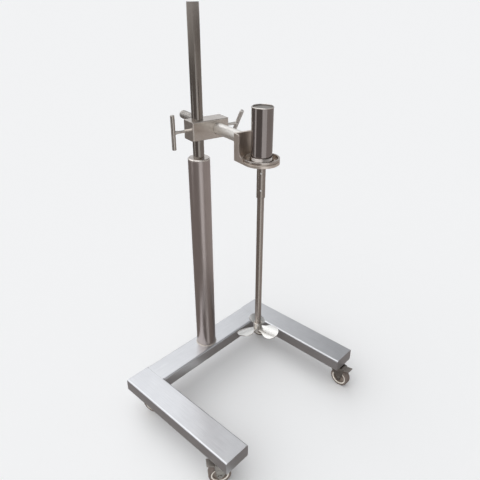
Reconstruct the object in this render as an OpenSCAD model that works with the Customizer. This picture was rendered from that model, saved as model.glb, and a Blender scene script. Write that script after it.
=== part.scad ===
// Air-driven laboratory stirrer on a mobile U-shaped floor stand, in millimetres.
// Origin: on the floor under the column's axis. +Z is up, the crossbar runs along X, the legs towards -Y.
// The head (clamp, arm, motor and stirrer) is drawn in its own frame, turned by head_yaw about the column.

/* [Base] */
// Width across the outer sides of the two legs
base_w = 727; // [620:1:900]
// Length of each leg, from the crossbar's back to the leg's free end
leg_l = 525; // [430:1:650]
// Width of the box section that the base is welded from
section_w = 100; // [90:1:110]
// Height of the box section
section_h = 50; // [40:1:60]
// Wall of the box section
section_wall = 3; // [2:0.5:5]
// Outer corner radius of the box section
section_r = 6; // [5.5:0.5:10]
// Thickness of the plates that close the leg ends
end_plate_t = 3; // [2:0.5:6]
// Height of the casters, from the floor to the underside of the base
caster_h = 100; // [98:1:120]

/* [Column and mast] */
// Height of the column above the base
column_h = 794; // [700:1:900]
// Outside diameter of the column tube
column_d = 76.2; // [70:0.1:90]
// Wall of the column tube
column_wall = 3; // [2:0.5:5]
// Height of the turned cap on the column, as it shows
cap_t = 6; // [4:0.5:12]
// Width and height of the cap's bevel
cap_bevel = 3; // [1:0.5:4]
// How far the cap and the foot bush reach into the column
bush_l = 30; // [20:1:60]
// Outside diameter of the mast tube
mast_d = 38.1; // [34:0.1:42]
// Wall of the mast tube
mast_wall = 3; // [2:0.5:5]
// Height of the mast above the column's cap
mast_rise = 474; // [420:1:600]

/* [Clamp] */
// Height of the clamp's centre above the column's cap
head_rise = 96; // [92:1:120]
// Turn of the head about the mast, in degrees
head_yaw = -13; // [-90:1:90]
// Length of the clamp block across mast and arm
block_w = 137; // [128:1:160]
// Depth of the clamp block along the arm
block_d = 63; // [56:1:80]
// Height of the clamp block
block_h = 63; // [56:1:80]
// Distance from the mast's axis to the near end of the block
block_back = 35; // [33:0.5:45]
// Radius on the block's upright edges
block_r = 4; // [2:0.5:10]
// Radius on the block's top and bottom edges
block_edge_r = 3; // [2:0.5:6]
// Distance between the mast's axis and the arm's axis
arm_offset = 62; // [56:0.5:66]
// Wall of the split clamping bushes
liner_t = 2.5; // [2:0.1:4]
// Width of the slot in the split clamping bushes
liner_slot = 3; // [1:0.5:6]
// Shoulder of the block that holds a clamping bush at each end
shoulder_t = 4; // [2:0.5:8]

/* [Clamping screws] */
// Thread diameter of the clamping screws
screw_d = 10; // [8:0.5:14]
// Thickness of the brass pads that press the bushes
pad_t = 4; // [2:0.5:6]
// Distance from the block's end to the middle of the handle bar
handle_out = 55; // [45:1:70]
// Diameter of the handle bars
tbar_d = 14; // [11:0.5:16]
// Length of the handle bars
tbar_l = 114; // [90:1:140]
// Length of the flared hub that carries the handle bar
flare_l = 12; // [8:0.5:18]
// Tilt of the arm's handle bar from upright, in degrees
arm_bar_tilt = 33; // [0:1:180]

/* [Arm and bracket] */
// Diameter of the arm
arm_d = 38.1; // [34:0.1:42]
// Distance from the mast's plane to the back of the motor bracket
arm_front = 206; // [195:1:250]
// Length of the arm's tail behind the mast's plane
arm_tail = 228; // [200:1:260]
// Diameter of the knurled grip at the arm's tail
grip_d = 29; // [24:0.5:32]
// Length of the grip, with the taper that leads down to it
grip_l = 110; // [60:1:120]
// Length of that taper
grip_taper = 10; // [4:1:20]
// Radius of the grip's rounded end
tail_r = 7; // [3:0.5:10]
// Width of the bracket, and outer diameter of its round foot
bracket_w = 110; // [100:1:130]
// Thickness of the bracket's upright plate
bracket_t = 10; // [8:0.5:16]
// Height of the upright plate above the arm's axis
bracket_up = 32; // [30:1:50]
// Depth of the bracket's underside below the arm's axis
bracket_down = 52.5; // [45:0.5:60]
// Thickness of the bracket's foot
foot_t = 8; // [6:0.5:12]
// Inside radius of the bend between upright plate and foot
bend_r = 8; // [4:0.5:12]
// Distance from the upright plate to the motor's axis
motor_out = 59; // [57:0.5:80]
// Depth of the bracket's side flanges in front of its upright plate
flank_out = 18; // [8:0.5:24]
// Thickness of the side flanges
flank_t = 4; // [3:0.5:6]
// Inside radius where a side flange turns from the plate to the foot
flank_bend_r = 15; // [4:0.5:16]
// Radius of a side flange's upper front corner
flank_corner_r = 6; // [2:0.5:12]
// Height of the ring on the foot
ring_h = 10; // [6:0.5:16]
// Wall of the ring on the foot
ring_wall = 5; // [3:0.5:8]
// Depth of the groove between ring and foot
waist = 1.5; // [0.5:0.1:2.5]

/* [Air motor] */
// Outside diameter of the motor's cover
motor_d = 64; // [60:0.5:76]
// Height of the motor above the foot
motor_h = 160; // [150:1:200]
// Wall of the cover
cover_wall = 2.5; // [1.5:0.1:4]
// Depth of the cap below the cover's rim
cap_recess = 2.5; // [1:0.5:6]
// Length of the stator, in which the rotor turns
stator_l = 80; // [60:1:84]
// Bore of the stator
stator_bore = 40; // [38:0.5:42]
// Distance between the stator's bore axis and the rotor's axis
eccentric = 2.5; // [1.5:0.1:2.6]
// Thickness of the sliding vanes
vane_t = 3; // [2:0.1:4]
// Number of vanes
vane_n = 4; // [3:1:6]
// Diameter of the motor's shaft
motor_shaft_d = 15; // [12:0.5:16]
// Outside diameter of the shaft's bearings
bearing_d = 35; // [32:1:38]
// Width of the bearings
bearing_w = 11; // [8:0.5:12]
// Outside diameter of the air socket
socket_d = 20; // [16:0.5:24]
// Length of the air socket outside the cover
socket_l = 14; // [10:1:30]
// Bore of the air socket, for a quarter-inch pipe thread
socket_bore = 11.5; // [9:0.1:13]
// Length of the exhaust silencer
silencer_l = 26; // [15:1:40]
// Diameter of the exhaust silencer
silencer_d = 16; // [12:0.5:20]
// Turn of the air socket and the silencer from straight back, in degrees
port_turn = -35; // [-60:1:60]

/* [Stirrer] */
// Outside diameter of the coupling sleeve
coupling_d = 27; // [25:0.5:34]
// Length of the coupling sleeve
coupling_l = 110; // [90:1:140]
// Diameter of the stirrer shaft
shaft_d = 22; // [16:0.5:22]
// Distance from the bracket's underside to the tip of the impeller's hub
stirrer_drop = 638.5; // [450:0.5:660]
// Diameter of the impeller's hub
hub_d = 30; // [28:0.5:40]
// Height of the impeller's hub
hub_h = 46; // [40:1:60]
// Height of the hub's tapered tip
hub_tip_h = 9; // [4:0.5:14]
// Number of blades
blade_n = 3; // [2:1:4]
// Width of each round blade
blade_d = 60; // [40:1:70]
// Distance from the shaft's axis to the middle of a blade
blade_out = 50; // [45:1:70]
// Thickness of the blades
blade_t = 3; // [2:0.1:4]
// Width of a blade's neck at the hub
neck_w = 20; // [12:1:24]
// Pitch of the blades, in degrees
blade_pitch = 15; // [5:1:35]
// Radius of the blades' curved section
blade_camber_r = 130; // [90:1:300]
// Turn of the stirrer about its shaft, in degrees
blade_turn = 56; // [0:1:120]

/* [Casters] */
// Wheel diameter
wheel_d = 76; // [66:0.5:77]
// Tread width
wheel_w = 27; // [20:0.5:32]
// Thickness of the tyre
tyre_t = 8; // [5:0.5:11]
// Distance between the swivel's axis and the wheel's axle
trail = 32; // [28:0.5:34]
// Distance from the leg's end to the swivel's axis
caster_inset = 38.5; // [34:0.5:60]
// Side of the square mounting plate
plate_w = 62; // [60:1:72]
// Thickness of the mounting plate
plate_t = 4; // [3:0.5:6]
// Thickness of the fork's cheeks
cheek_t = 3; // [2:0.5:4]
// Length of the brake pedal from its pivot
pedal_l = 32; // [24:1:36]
// Directions in which the four wheels trail: left front, right front, left rear, right rear
wheel_turns = [143, -90, 290, -66];

/* [Hidden] */
$fn = 64;
// Overrun of every cut past the face that it leaves
over = 1;
// Radial play of shafts, bushes and screws that move
run_gap = 0.05;
// Play of parts that are pressed, screwed or slipped together and stay put
seat_gap = 0.05;
// Play between flat faces that pass each other
side_gap = 0.3;

// Base
base_top = caster_h + section_h;
leg_x = base_w / 2 - section_w / 2;
leg_front = section_w / 2 - leg_l;
leg_back = section_w / 2;
inner_r = section_r - section_wall;
column_top = base_top + column_h;
column_bore_r = column_d / 2 - column_wall;
mast_top = column_top + mast_rise;
mast_r = mast_d / 2;
plug_l = mast_d / 2;

// Head frame: the mast's axis is the origin, the arm runs along Y and its front is at -Y
head_z = column_top + head_rise;
liner_r = mast_r + run_gap + liner_t;
arm_r = arm_d / 2;
arm_liner_r = arm_r + run_gap + liner_t;
end_near = -block_back;
end_far = block_w - block_back;
screw_r = screw_d / 2;
// Radius of a screw's flare and of a handle bar's rounded ends, as shares of the bar's radius
flare_share = 0.9;
bar_end_share = 0.35;
plate_back = -arm_front;
plate_front = plate_back - bracket_t;
motor_y = plate_front - motor_out;
foot_z = head_z - bracket_down;
floor_z = foot_z + foot_t;
foot_r = bracket_w / 2;
// A side flange ends on the foot just before the ring's wall comes in front of it
flank_end_gap = 1;
flank_l = motor_out - sqrt(pow(foot_r, 2) - pow(foot_r - flank_t, 2)) - flank_end_gap;

// Motor stack, as heights above the foot's upper face
cover_r = motor_d / 2;
cover_bore_r = cover_r - cover_wall;
inner_stack_r = cover_bore_r - seat_gap;
flange_t = 6;
seal_t = 6;
seal_r = motor_shaft_d / 2 + seal_t;
lip_t = 2;
end_play = 1;
bearing_r = bearing_d / 2;
lower_plate_t = seal_t + lip_t + bearing_w + end_play;
upper_plate_t = lip_t + bearing_w + end_play;
rotor_end_gap = 0.5;
stator_z = floor_z + lower_plate_t;
upper_plate_z = stator_z + stator_l;
chamber_z = upper_plate_z + upper_plate_t;
motor_top = floor_z + motor_h;
motor_cap_t = 8;
motor_cap_z = motor_top - cap_recess - motor_cap_t;
socket_z = (chamber_z + motor_cap_z) / 2;
stator_bore_r = stator_bore / 2;
rotor_r = stator_bore_r - eccentric - rotor_end_gap;
shaft_r = motor_shaft_d / 2;
vane_root_r = shaft_r + end_play;
silencer_z = upper_plate_z - silencer_d / 2 - lip_t;
silencer_neck_r = silencer_d / 4;
stator_screw_r = 2;
stator_screw_at = (inner_stack_r + stator_bore_r + eccentric) / 2;
foot_screw_r = 3;
foot_screw_head_r = 5;
foot_screw_head_h = 6;
foot_screw_at = (bearing_r + inner_stack_r) / 2;
foot_screw_n = 4;

// Stirrer
coupling_gap = 1;
coupling_top = foot_z - coupling_gap;
coupling_bottom = coupling_top - coupling_l;
coupling_web = 8;
coupling_mid = (coupling_top + coupling_bottom) / 2;
shaft_hole_r = coupling_d / 2 + coupling_gap;
set_screw_d = 6;
set_screw_share = 0.25;
// Side of the stirrer on which its set screws sit, in degrees
set_screw_turn = 233;
hub_z = foot_z - stirrer_drop;
hub_r = hub_d / 2;
hub_tip_r = hub_r / 3;
hub_floor = hub_tip_h + blade_t;
blade_z = hub_z + hub_tip_h + (hub_h - hub_tip_h) / 3;
// Width of the neck's wide end, as a share of the blade's width
neck_flare_share = 0.82;

// Casters: the local origin is on the floor under the swivel's axis, the wheel trails towards +X
caster_spots = [[-leg_x, leg_front + caster_inset], [leg_x, leg_front + caster_inset],
    [-leg_x, leg_back - caster_inset], [leg_x, leg_back - caster_inset]];
wheel_r = wheel_d / 2;
race_r = plate_w / 3;
race_t = 4;
crown_t = 8;
crown_lip = 1.5;
crown_r = race_r + crown_lip;
crown_top = caster_h - plate_t - race_t - side_gap;
pin_r = 5;
pin_head_r = 8;
pin_head_t = 2.5;
bolt_r = 3;
bolt_head_r = 5.5;
bolt_head_t = 4;
bolt_margin = 3;
bolt_at = plate_w / 2 - bolt_head_r - bolt_margin;
bolt_len = plate_t + section_wall + bolt_head_t;
cheek_r = 7.5;
cheek_drop = 0.7;
cheek_z = crown_top - cheek_r - cheek_drop;
wheel_play = 1.5;
cheek_y = wheel_w / 2 + wheel_play;
pedal_ahead = 10;
pedal_x = trail + pedal_ahead;
pedal_pin_r = 2.5;
pedal_hub_r = 6;
pedal_half_w = cheek_y - side_gap;
pedal_t = 3;
pedal_rise = 14;
pedal_stroke = 22;
shoe_r = 2.5;
axle_r = 4;
axle_head_r = 7;
axle_head_t = 3;
boss_r = 11;
hub_web_t = 7;
wheel_hub_r = 10;
rim_t = 4;
rim_r = wheel_r - tyre_t;
shoulder_r = tyre_t / 2;

// Places its children in the head's frame
module in_head() {
    rotate([0, 0, head_yaw]) children();
}

// Places its children on the motor's axis
module on_motor() {
    in_head() translate([arm_offset, motor_y, 0]) children();
}

// Turns an upright shape that starts at the origin so that it runs along +X
module along_x() {
    rotate([0, 90, 0]) children();
}

// Turns an upright shape that starts at the origin so that it runs along -Y
module along_front() {
    rotate([90, 0, 0]) children();
}

// Rectangle about the origin with rounded corners
module rounded_rect(w, h, r) {
    square([w - 2 * r, h], center = true);
    square([w, h - 2 * r], center = true);
    for (x = [-1, 1], y = [-1, 1]) translate([x * (w / 2 - r), y * (h / 2 - r)]) circle(r);
}

// Two discs joined by their outer tangents
module link_2d(a, ra, b, rb) {
    d = b - a;
    turn = atan2(d.y, d.x);
    open = acos((ra - rb) / norm(d));
    side = [for (s = [1, -1]) [cos(turn + s * open), sin(turn + s * open)]];
    translate(a) circle(ra);
    translate(b) circle(rb);
    polygon([a + ra * side[0], b + rb * side[0], b + rb * side[1], a + ra * side[1]]);
}

// Ring or tube with its lower face at height z
module ring(z, h, r_out, r_in) {
    translate([0, 0, z]) difference() {
        cylinder(r = r_out, h = h);
        translate([0, 0, -over]) cylinder(r = r_in, h = h + 2 * over);
    }
}

// Outline of the base's box section
module section_2d() {
    difference() {
        rounded_rect(section_w, section_h, section_r);
        rounded_rect(section_w - 2 * section_wall, section_h - 2 * section_wall, inner_r);
    }
}

// Crossbar, with welds ground flush that fill the groove along each leg's rounded edges
module crossbar() {
    span = 2 * leg_x - section_w;
    color("gainsboro") translate([0, 0, caster_h + section_h / 2]) {
        translate([-span / 2, 0, 0]) rotate([90, 0, 90]) linear_extrude(span) section_2d();
        for (end = [0, 180], face = [0, 180]) rotate([face, 0, end])
            translate([span / 2, section_w / 2 - section_r, section_h / 2 - section_r])
                along_front() linear_extrude(section_w - 2 * section_r) weld_2d();
    }
}

// Weld between a flat end and a rounded edge of the box section, seen along the edge
module weld_2d() {
    difference() {
        square(section_r);
        translate([section_r, 0]) circle(section_r);
    }
}

// One leg with the holes for its two casters' bolts
module leg(side) {
    tube_l = leg_l - 2 * end_plate_t;
    color("gainsboro") difference() {
        translate([side * leg_x, leg_back - end_plate_t, caster_h + section_h / 2])
            along_front() linear_extrude(tube_l) section_2d();
        for (spot = caster_spots, x = [-1, 1], y = [-1, 1]) if (spot.x * side > 0)
            translate([spot.x + x * bolt_at, spot.y + y * bolt_at, caster_h - over])
                cylinder(r = bolt_r + seat_gap, h = section_wall + 2 * over);
    }
}

module leg_end_caps() {
    color("gainsboro") for (side = [-1, 1], y = [leg_back, leg_front + end_plate_t])
        translate([side * leg_x, y, caster_h + section_h / 2])
            along_front() linear_extrude(end_plate_t) rounded_rect(section_w, section_h, section_r);
}

module column() {
    color("silver") ring(base_top, column_h - cap_t, column_d / 2, column_bore_r);
}

// Turned cap with a bevelled rim and a spigot in the column
module column_cap() {
    spigot_r = column_bore_r - seat_gap;
    rim_r0 = column_d / 2;
    color("lightgray") translate([0, 0, column_top]) rotate_extrude() polygon([
        [mast_r + seat_gap, 0], [rim_r0 - cap_bevel, 0], [rim_r0, -cap_bevel], [rim_r0, -cap_t],
        [spigot_r, -cap_t], [spigot_r, -cap_t - bush_l], [mast_r + seat_gap, -cap_t - bush_l]]);
}

module mast() {
    color("silver") ring(base_top, mast_top - base_top, mast_r, mast_r - mast_wall);
}

// Closing plug, flush with the mast's top
module mast_plug() {
    bore_r = mast_r - mast_wall - seat_gap;
    color("dimgray") translate([0, 0, mast_top - plug_l]) cylinder(r = bore_r, h = plug_l);
}

// Bush that centres the mast's foot in the column
module mast_foot_bush() {
    color("gray") ring(base_top, bush_l, column_bore_r - seat_gap, mast_r + seat_gap);
}

// Split bush: a tube with one slot along it, on the +X side
module split_bush(l, r_in, r_out) {
    difference() {
        ring(-l / 2, l, r_out, r_in);
        translate([0, -liner_slot / 2, -l / 2 - over]) cube([r_out + over, liner_slot, l + 2 * over]);
    }
}

// Bush between mast and clamp, its slot away from the pressing pad
module mast_liner() {
    color("darkgray") in_head() translate([0, 0, head_z])
        split_bush(block_h - 2 * shoulder_t - side_gap, mast_r + run_gap, liner_r);
}

// Bush between arm and clamp, its slot away from the pressing pad
module arm_liner() {
    color("darkgray") in_head() translate([arm_offset, 0, head_z]) rotate([90, 0, 180])
        split_bush(block_d - 2 * shoulder_t - side_gap, arm_r + run_gap, arm_liner_r);
}

// Bore through the block with a wider pocket for the clamping bush, along Z and centred
module bush_pocket(l, r_shaft, r_bush) {
    cylinder(r = r_shaft + side_gap, h = l + 2 * over, center = true);
    cylinder(r = r_bush + run_gap, h = l - 2 * shoulder_t, center = true);
}

// Block with rounded edges, crossed by the bores of mast and arm and tapped from both ends
module clamp_block() {
    mid = (end_near + end_far) / 2;
    color("darkgray") in_head() translate([0, 0, head_z]) difference() {
        translate([mid, 0, 0]) intersection() {
            translate([0, 0, -block_h / 2]) linear_extrude(block_h) rounded_rect(block_w, block_d, block_r);
            translate([-block_w / 2, 0, 0]) rotate([90, 0, 90])
                linear_extrude(block_w) rounded_rect(block_d, block_h, block_edge_r);
        }
        bush_pocket(block_h, mast_r, liner_r);
        translate([arm_offset, 0, 0]) along_front() bush_pocket(block_d, arm_r, arm_liner_r);
        translate([end_near - over, 0, 0]) along_x() cylinder(r = screw_r + run_gap, h = block_back + over);
        translate([arm_offset, 0, 0]) along_x()
            cylinder(r = screw_r + run_gap, h = end_far - arm_offset + over);
    }
}

// Pad along +X from its bush, hollowed to fit round a bush of radius r that runs along Z
module pad(r) {
    hollow_r = r + run_gap;
    depth = hollow_r - sqrt(hollow_r * hollow_r - screw_r * screw_r);
    start = hollow_r - depth - over;
    difference() {
        translate([start, 0, 0]) along_x() cylinder(r = screw_r, h = hollow_r + pad_t - start);
        cylinder(r = hollow_r, h = screw_d + 2 * over, center = true);
    }
}

// Screw along +X from its pad's face at x0, flared to a saddle for the handle bar at x1
module t_screw(x0, x1) {
    flare_r = flare_share * tbar_d / 2;
    flare_end = x1 - tbar_d / 2;
    difference() {
        along_x() rotate_extrude() polygon([[0, x0], [screw_r, x0], [screw_r, flare_end - flare_l],
            [flare_r, flare_end], [flare_r, x1], [0, x1]]);
        translate([x1, 0, 0])
            cylinder(r = tbar_d / 2 + seat_gap, h = 2 * flare_r + 2 * over, center = true);
    }
}

// Handle bar with rounded ends, upright through the origin
module t_bar() {
    r = tbar_d / 2;
    end_r = r * bar_end_share;
    rotate_extrude() difference() {
        union() {
            translate([0, -tbar_l / 2]) square([r - end_r, tbar_l]);
            translate([0, end_r - tbar_l / 2]) square([r, tbar_l - 2 * end_r]);
            for (s = [-1, 1]) translate([r - end_r, s * (tbar_l / 2 - end_r)]) circle(end_r);
        }
        translate([-r, -tbar_l]) square([r, 2 * tbar_l]);
    }
}

module mast_pad() {
    color("goldenrod") in_head() translate([0, 0, head_z]) rotate([0, 0, 180]) pad(liner_r);
}

module mast_screw() {
    color("silver") in_head() translate([0, 0, head_z]) rotate([0, 0, 180])
        t_screw(liner_r + run_gap + pad_t, block_back + handle_out);
}

module mast_tbar() {
    color("silver") in_head() translate([end_near - handle_out, 0, head_z]) t_bar();
}

module arm_pad() {
    color("goldenrod") in_head() translate([arm_offset, 0, head_z]) rotate([90, 0, 0]) pad(arm_liner_r);
}

module arm_screw() {
    reach = end_far - arm_offset;
    color("silver") in_head() translate([arm_offset, 0, head_z]) rotate([arm_bar_tilt, 0, 0])
        t_screw(arm_liner_r + run_gap + pad_t, reach + handle_out);
}

module arm_tbar() {
    color("silver") in_head() translate([end_far + handle_out, 0, head_z])
        rotate([arm_bar_tilt, 0, 0]) t_bar();
}

// Round bar from the bracket's back through the clamp, tapered down to a grip with a rounded tail
module arm_rod() {
    l = arm_front + arm_tail;
    grip_r = grip_d / 2;
    color("darkgray") in_head() translate([arm_offset, arm_tail, head_z]) along_front() rotate_extrude()
        difference() {
            union() {
                polygon([[0, tail_r], [grip_r, tail_r], [grip_r, grip_l - grip_taper], [arm_r, grip_l],
                    [arm_r, l], [0, l]]);
                square([grip_r - tail_r, tail_r]);
                translate([grip_r - tail_r, tail_r]) circle(tail_r);
            }
            translate([-2 * tail_r, -over]) square([2 * tail_r, l]);
        }
}

// Side view of the bent bracket plate: Y across, Z up, with the bend's inside radius
module bracket_side_2d() {
    foot_l = bracket_t + motor_out + foot_r;
    up = bracket_up + bracket_down;
    translate([-bracket_t, 0]) square([bracket_t, up]);
    translate([-foot_l, 0]) square([foot_l, foot_t]);
    translate([-bracket_t, foot_t]) difference() {
        translate([-bend_r, 0]) square(bend_r);
        translate([-bend_r, bend_r]) circle(bend_r);
    }
}

// Side view of a side flange: a band along the plate's edge that turns into a lip along the foot
module bracket_flank_2d() {
    up = bracket_up + bracket_down;
    lip_h = foot_t + ring_h;
    front = bracket_t + flank_out;
    bend = min(flank_bend_r, flank_l - flank_out - flank_end_gap);
    difference() {
        translate([-front, 0]) square([front, up]);
        translate([-front, up - flank_corner_r]) difference() {
            translate([-over, 0]) square(flank_corner_r + over);
            translate([flank_corner_r, 0]) circle(flank_corner_r);
        }
    }
    translate([-bracket_t - flank_l, 0]) square([bracket_t + flank_l, lip_h]);
    translate([-front, lip_h]) difference() {
        translate([-bend, 0]) square(bend);
        translate([-bend, bend]) circle(bend);
    }
}

// Bent plate: an upright behind the motor with flanged sides, and a foot with a round nose under it
module motor_bracket() {
    edge_r = bracket_t / 3;
    color("darkgray") in_head() difference() {
        intersection() {
            translate([arm_offset - bracket_w / 2, plate_back, foot_z]) rotate([90, 0, 90]) {
                linear_extrude(bracket_w) bracket_side_2d();
                linear_extrude(flank_t) bracket_flank_2d();
                translate([0, 0, bracket_w - flank_t]) linear_extrude(flank_t) bracket_flank_2d();
            }
            translate([arm_offset, 0, foot_z - over]) linear_extrude(bracket_up + bracket_down + 2 * over) {
                translate([0, motor_y]) circle(foot_r);
                translate([-foot_r, motor_y]) square([bracket_w, motor_out + edge_r]);
                translate([0, plate_back - (bracket_t + edge_r) / 2])
                    rounded_rect(bracket_w, bracket_t + edge_r, edge_r);
            }
        }
        translate([arm_offset, motor_y, foot_z - over]) cylinder(r = shaft_hole_r, h = foot_t + 2 * over);
        foot_screw_places(foot_z - over) cylinder(r = foot_screw_r + seat_gap, h = foot_t + 2 * over);
    }
}

// Places its children at the foot screws, from height z upwards
module foot_screw_places(z) {
    for (i = [0 : foot_screw_n - 1]) translate([arm_offset, motor_y, z])
        rotate([0, 0, i * 360 / foot_screw_n]) translate([foot_screw_at, 0, 0]) children();
}

// Ring on the foot, with a groove at its root and trimmed flat where the bracket bends up
module foot_ring() {
    color("silver") on_motor() difference() {
        translate([0, 0, floor_z]) rotate_extrude() polygon([[foot_r - ring_wall, 0], [foot_r - waist, 0],
            [foot_r - waist, waist], [foot_r, 2 * waist], [foot_r, ring_h], [foot_r - ring_wall, ring_h]]);
        translate([-foot_r, motor_out - bend_r, floor_z - over])
            cube([bracket_w, bend_r + foot_r, ring_h + 2 * over]);
    }
}

// Cap screws from under the foot into the motor's lower end plate
module foot_screws() {
    grip = foot_t + flange_t;
    color("dimgray") in_head() foot_screw_places(foot_z) {
        cylinder(r = foot_screw_r, h = grip);
        translate([0, 0, -foot_screw_head_h]) cylinder(r = foot_screw_head_r, h = foot_screw_head_h);
    }
}

// Radial cylinder at height z towards the side of the ports, between two distances from the axis
module radial(z, r, from, to) {
    rotate([0, 0, port_turn]) translate([0, from, z]) rotate([-90, 0, 0]) cylinder(r = r, h = to - from);
}

// Thin tube over the motor, open for the air socket and the silencer
module motor_cover() {
    z = floor_z + flange_t;
    color("silver") on_motor() difference() {
        ring(z, motor_top - z, cover_r, cover_bore_r);
        radial(socket_z, socket_d / 2 + seat_gap, 0, motor_d);
        radial(silencer_z, silencer_neck_r + seat_gap, 0, motor_d);
    }
}

// Cap let into the cover's top, with a spigot that stiffens it
module motor_cap() {
    spigot_r = inner_stack_r - cover_wall;
    color("silver") on_motor() translate([0, 0, motor_cap_z]) difference() {
        cylinder(r = inner_stack_r, h = motor_cap_t);
        translate([0, 0, -over]) cylinder(r = spigot_r, h = motor_cap_t / 2 + over);
    }
}

// Places its children at the four stator screws, midway between the ports, from height z upwards
module stator_screw_places(z) {
    for (turn = [45 : 90 : 315]) rotate([0, 0, port_turn + turn]) translate([stator_screw_at, 0, z])
        children();
}

// Lower end plate: flange on the foot, spigot in the cover, pockets for seal and bearing
module lower_end_plate() {
    color("gray") on_motor() difference() {
        union() {
            translate([0, 0, floor_z]) cylinder(r = cover_r, h = flange_t);
            translate([0, 0, floor_z]) cylinder(r = inner_stack_r, h = lower_plate_t);
        }
        translate([0, 0, floor_z - over]) cylinder(r = seal_r + seat_gap, h = seal_t + over);
        translate([0, 0, floor_z - over]) cylinder(r = shaft_r + lip_t, h = lower_plate_t + 2 * over);
        translate([0, 0, floor_z + seal_t + lip_t])
            cylinder(r = bearing_r + seat_gap, h = bearing_w + over + lip_t);
        stator_screw_places(floor_z + flange_t)
            cylinder(r = stator_screw_r + seat_gap, h = lower_plate_t);
        translate([-arm_offset, -motor_y, 0]) foot_screw_places(floor_z - over)
            cylinder(r = foot_screw_r + seat_gap, h = flange_t + over);
    }
}

// Upper end plate with the pocket of the upper bearing
module upper_end_plate() {
    color("gray") on_motor() difference() {
        translate([0, 0, upper_plate_z]) cylinder(r = inner_stack_r, h = upper_plate_t);
        translate([0, 0, upper_plate_z - over]) cylinder(r = shaft_r + lip_t, h = lip_t + 2 * over);
        translate([0, 0, upper_plate_z + lip_t]) cylinder(r = bearing_r + seat_gap, h = upper_plate_t);
        stator_screw_places(upper_plate_z - over)
            cylinder(r = stator_screw_r + seat_gap, h = upper_plate_t + 2 * over);
    }
}

module bearing(z) {
    color("lightgray") on_motor() ring(z, bearing_w, bearing_r, shaft_r + run_gap);
}

module lower_bearing() {
    bearing(floor_z + seal_t + lip_t);
}

module upper_bearing() {
    bearing(upper_plate_z + lip_t);
}

module shaft_seal() {
    color("black") on_motor() ring(floor_z, seal_t, seal_r, shaft_r + run_gap);
}

// Stator: a sleeve whose bore sits beside the rotor's axis, with an exhaust port
module stator_liner() {
    color("silver") on_motor() difference() {
        translate([0, 0, stator_z]) cylinder(r = inner_stack_r, h = stator_l);
        translate([eccentric, 0, stator_z - over]) cylinder(r = stator_bore_r, h = stator_l + 2 * over);
        radial(silencer_z, silencer_neck_r + seat_gap, 0, motor_d);
        stator_screw_places(stator_z - over)
            cylinder(r = stator_screw_r + seat_gap, h = stator_l + 2 * over);
    }
}

// Long screws that draw the two end plates onto the stator
module stator_screws() {
    l = chamber_z - floor_z - flange_t;
    head_r = stator_screw_r * 1.75;
    color("dimgray") on_motor() stator_screw_places(floor_z + flange_t) {
        cylinder(r = stator_screw_r, h = l);
        translate([0, 0, l]) cylinder(r = head_r, h = 2 * stator_screw_r);
    }
}

// Threaded socket for the air line, through the back of the cover above the stator
module air_inlet_socket() {
    color("silver") on_motor() difference() {
        radial(socket_z, socket_d / 2, cover_bore_r, cover_r + socket_l);
        radial(socket_z, socket_bore / 2, 0, cover_r + socket_l + over);
    }
}

// Sintered silencer on the exhaust port, with a hexagon and a neck
module exhaust_silencer() {
    hex_t = silencer_d / 4;
    nose = silencer_d / 8;
    color("darkgoldenrod") on_motor() {
        radial(silencer_z, silencer_neck_r, cover_bore_r, cover_r + over);
        rotate([0, 0, port_turn]) translate([0, cover_r, silencer_z]) rotate([-90, 0, 0]) {
            cylinder(r = silencer_d / 2, h = hex_t, $fn = 6);
            cylinder(r = silencer_d / 2 - nose, h = silencer_l - nose);
            translate([0, 0, silencer_l - nose])
                cylinder(r1 = silencer_d / 2 - nose, r2 = silencer_d / 2 - 2 * nose, h = nose);
        }
    }
}

// Rotor with slots for the vanes, on a shaft that runs down into the coupling
module rotor() {
    shaft_bottom = coupling_mid + coupling_web / 2 + coupling_gap;
    shaft_top = upper_plate_z + lip_t + bearing_w;
    slot = vane_t + 2 * seat_gap;
    z0 = stator_z + rotor_end_gap;
    l = stator_l - 2 * rotor_end_gap;
    color("lightgray") on_motor() {
        translate([0, 0, shaft_bottom]) cylinder(r = shaft_r, h = shaft_top - shaft_bottom);
        difference() {
            translate([0, 0, z0]) cylinder(r = rotor_r, h = l);
            vane_places() translate([vane_root_r, -slot / 2, z0 - over])
                cube([rotor_r, slot, l + 2 * over]);
        }
    }
}

// Places its children at each vane, which runs along +X
module vane_places() {
    for (i = [0 : vane_n - 1]) rotate([0, 0, i * 360 / vane_n]) children();
}

// Sliding vanes, drawn in to the rotor's rim
module vanes() {
    z0 = stator_z + rotor_end_gap;
    color("saddlebrown") on_motor() vane_places() translate([vane_root_r + seat_gap, -vane_t / 2, z0])
        cube([rotor_r - vane_root_r - 2 * seat_gap, vane_t, stator_l - 2 * rotor_end_gap]);
}

// Heights of the coupling's two set screws
function set_screw_heights() = [coupling_top - coupling_l * set_screw_share,
    coupling_bottom + coupling_l * set_screw_share];

// Places its children at height z on the side of the set screws, along +X
module set_screw_place(z) {
    translate([0, 0, z]) rotate([0, 0, set_screw_turn]) along_x() children();
}

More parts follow.
